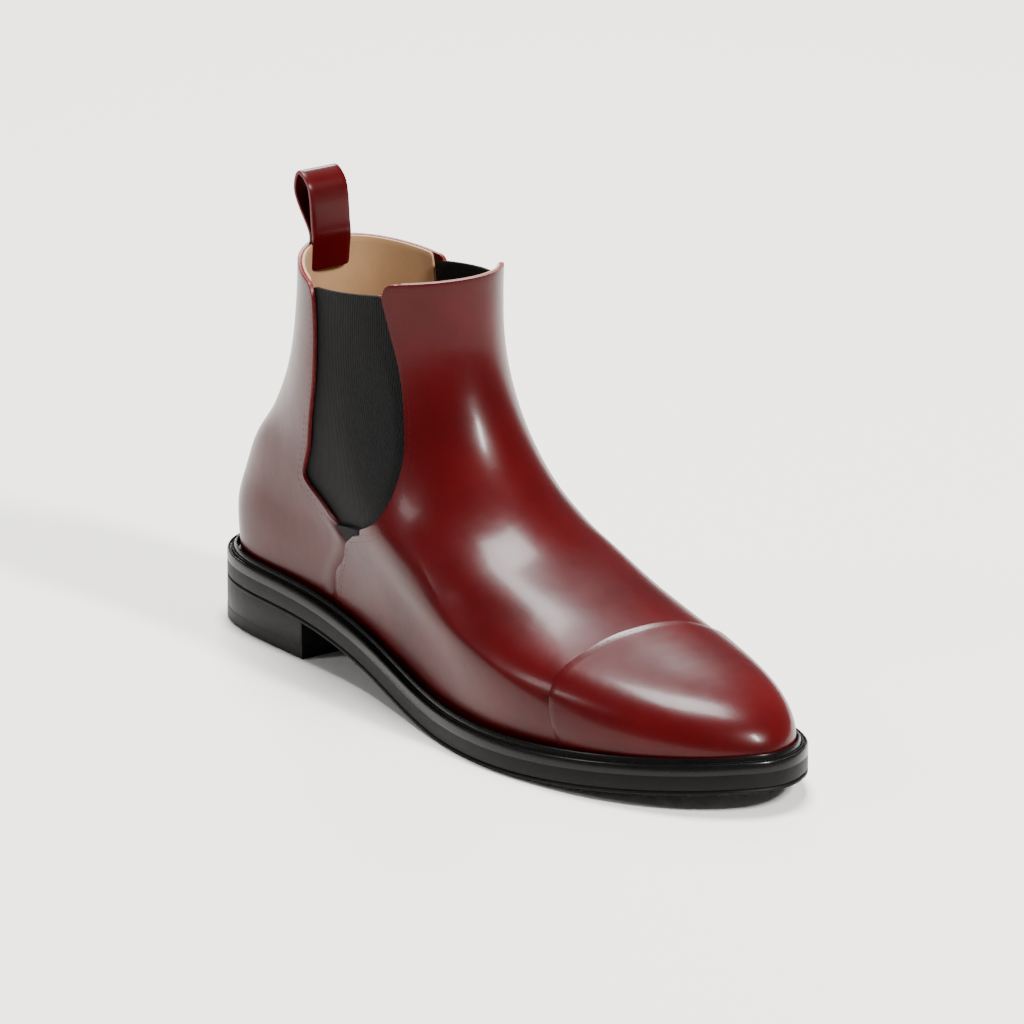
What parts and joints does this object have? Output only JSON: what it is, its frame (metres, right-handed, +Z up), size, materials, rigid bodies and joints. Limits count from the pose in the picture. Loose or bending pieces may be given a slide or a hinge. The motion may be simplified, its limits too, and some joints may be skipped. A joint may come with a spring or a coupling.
{
  "type": "chelsea boot",
  "caption": "Ankle-high slip-on boot for the right foot with elastic side gores, straight toe cap, pull tab, storm welt and low stacked heel.",
  "frame": {"origin": "on the ground under the middle of the boot's overall length and width", "axes": "+X towards the toe, +Y towards the inner side of the foot, +Z up"},
  "size_m": [0.3042, 0.097, 0.1717],
  "materials": {
    "burgundy_calf": "polished calf leather",
    "lining_leather": "smooth vegetable-tanned leather",
    "black_elastic": "ribbed woven elastic",
    "stiffener_board": "pressed leatherboard",
    "insole_leather": "vegetable-tanned leather",
    "foam": "latex foam",
    "cork": "granulated cork",
    "spring_steel": "plain steel",
    "brass": "brass pins",
    "black_welt_leather": "waxed storm welt",
    "black_sole_rubber": "moulded rubber",
    "black_heel_stack": "inked and waxed leather stack"
  },
  "bodies": {
    "root": {"vamp": "burgundy_calf", "rear_quarter": "burgundy_calf", "vamp_lining": "lining_leather", "heel_lining": "lining_leather", "sock_liner": "lining_leather", "gore_lateral": "black_elastic", "gore_medial": "black_elastic", "heel_counter": "stiffener_board", "insole_board": "insole_leather", "heel_pad": "foam", "waist_filler": "cork", "shank": "spring_steel", "heel_nails": "spring_steel", "top_lift_pins": "brass", "welt": "black_welt_leather", "outsole": "black_sole_rubber", "heel_top_lift": "black_sole_rubber", "heel_block": "black_heel_stack"},
    "forepart": {"toe_cap": "burgundy_calf", "toe_puff": "stiffener_board", "toe_lining": "lining_leather", "insole_forepart": "insole_leather", "cork_filler": "cork", "welt_forepart": "black_welt_leather", "outsole_forepart": "black_sole_rubber"},
    "shaft_back": {"shaft_back": "burgundy_calf", "shaft_lining": "lining_leather", "pull_tab_base": "burgundy_calf"},
    "pull_tab": {"pull_tab": "burgundy_calf"}
  },
  "joints": [
    {"name": "toe_flex", "type": "hinge", "parent": "root", "child": "forepart", "pos_m": [0.048, 0, 0.0134], "axis": [0, -1, 0], "range_deg": [0, 30], "stiffness_Nm_per_rad": 6, "deforming": ["vamp", "vamp_lining"]},
    {"name": "collar_open", "type": "hinge", "parent": "root", "child": "shaft_back", "pos_m": [-0.1234, 0, 0.0958], "axis": [0, -1, 0], "range_deg": [0, 12], "stiffness_Nm_per_rad": 2, "deforming": ["gore_lateral", "gore_medial"]},
    {"name": "pull_tab_fold", "type": "hinge", "parent": "shaft_back", "child": "pull_tab", "pos_m": [-0.1073, 0, 0.1493], "axis": [0, -1, 0], "range_deg": [-25, 70], "stiffness_Nm_per_rad": 0.02}
  ]
}
